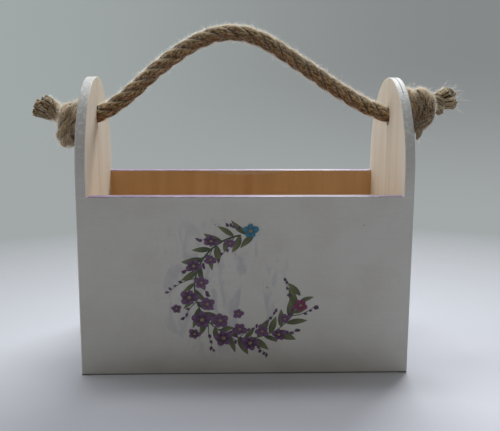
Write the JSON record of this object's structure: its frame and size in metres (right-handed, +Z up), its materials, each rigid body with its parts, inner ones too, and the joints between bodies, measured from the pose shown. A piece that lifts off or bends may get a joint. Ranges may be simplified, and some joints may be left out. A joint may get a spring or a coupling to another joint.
{
  "type": "wooden storage box",
  "caption": "Open wooden storage box with half-round end panels and a thick rope carrying handle that is knotted outside both ends.",
  "frame": {"origin": "on the surface that the box stands on, below the middle of the box", "axes": "+Z up, +X along the box to the right as seen from the front, -Y out of the front panel"},
  "size_m": [0.3562, 0.151, 0.2749],
  "materials": {
    "painted_wood": "satin",
    "bare_wood": "matte",
    "jute_rope": "matte",
    "pin_steel": "satin",
    "flower_decor": "matte"
  },
  "bodies": {
    "box": {"back_base_pin_1": "pin_steel", "back_base_pin_2": "pin_steel", "back_base_pin_3": "pin_steel", "back_base_pin_4": "pin_steel", "back_panel": "painted_wood", "base_panel": "bare_wood", "front_base_pin_1": "pin_steel", "front_base_pin_2": "pin_steel", "front_base_pin_3": "pin_steel", "front_base_pin_4": "pin_steel", "front_panel": "painted_wood", "left_back_pin_1": "pin_steel", "left_back_pin_2": "pin_steel", "left_back_pin_3": "pin_steel", "left_base_pin_1": "pin_steel", "left_base_pin_2": "pin_steel", "left_base_pin_3": "pin_steel", "left_end_panel": "painted_wood", "left_front_pin_1": "pin_steel", "left_front_pin_2": "pin_steel", "left_front_pin_3": "pin_steel", "right_back_pin_1": "pin_steel", "right_back_pin_2": "pin_steel", "right_back_pin_3": "pin_steel", "right_base_pin_1": "pin_steel", "right_base_pin_2": "pin_steel", "right_base_pin_3": "pin_steel", "right_end_panel": "painted_wood", "right_front_pin_1": "pin_steel", "right_front_pin_2": "pin_steel", "right_front_pin_3": "pin_steel"},
    "handle": {"rope_handle": "jute_rope"}
  },
  "joints": [
    {"name": "handle_swing", "type": "hinge", "parent": "box", "child": "handle", "pos_m": [0, 0, 0.2], "axis": [1, 0, 0], "range_deg": [-90, 90]}
  ]
}
